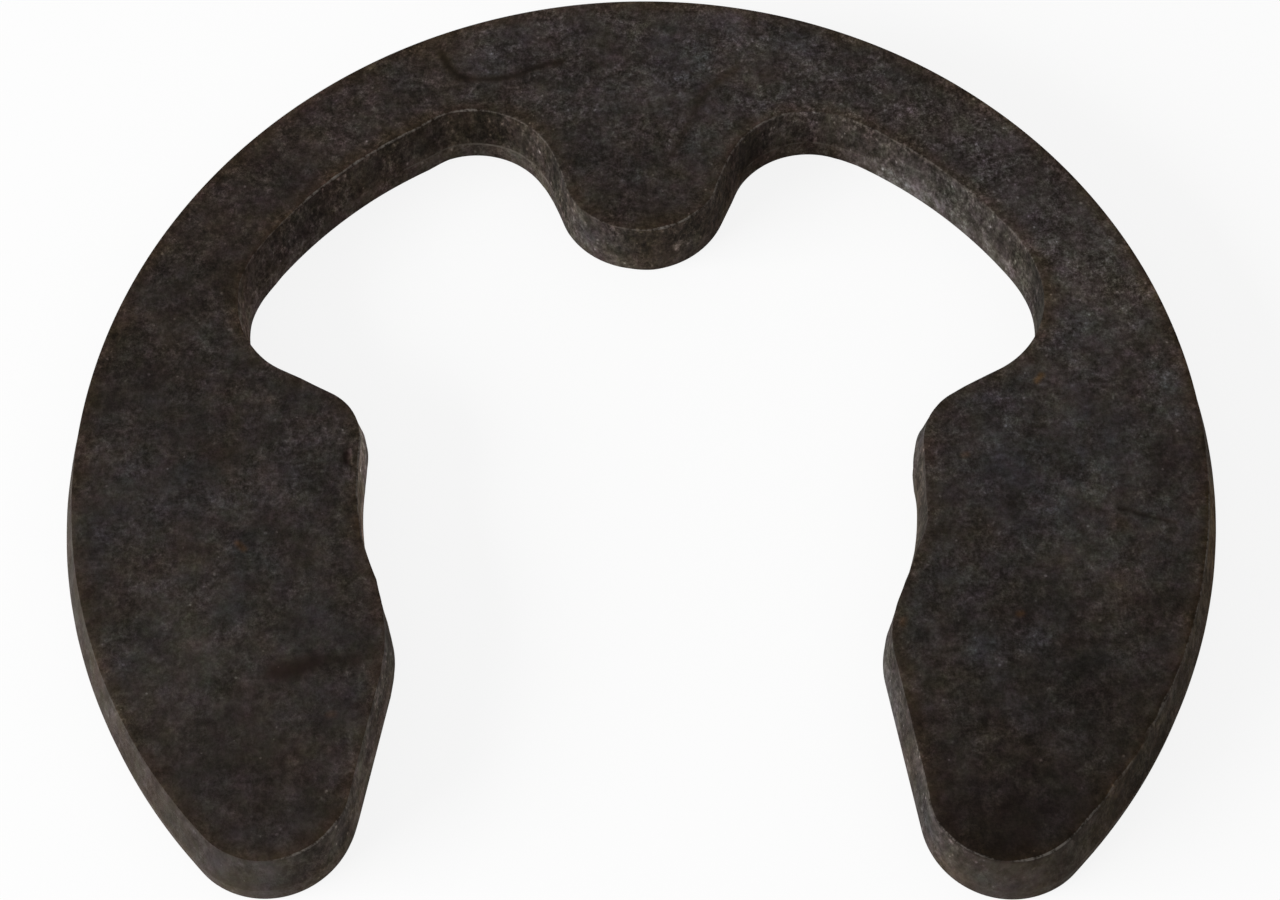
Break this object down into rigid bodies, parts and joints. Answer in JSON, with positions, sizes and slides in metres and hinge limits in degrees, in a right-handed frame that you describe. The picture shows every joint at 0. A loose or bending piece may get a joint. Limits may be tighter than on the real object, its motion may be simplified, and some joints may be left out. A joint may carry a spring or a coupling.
{
  "type": "e-clip",
  "caption": "Flat E-shaped retaining clip of dark phosphated spring steel, pushed sideways into a shaft groove that its middle prong and curved leg seats grip.",
  "frame": {"origin": "on the axis of the shaft groove, at the clip's lower face", "axes": "+Z along the shaft axis to the upper face, +Y from the axis to the bridge, the throat opens towards -Y"},
  "size_m": [0.014, 0.0122, 0.0009],
  "materials": {
    "phosphated_steel": "matt black phosphate with worn edges"
  },
  "bodies": {
    "root": {"clip": "phosphated_steel"}
  },
  "joints": []
}
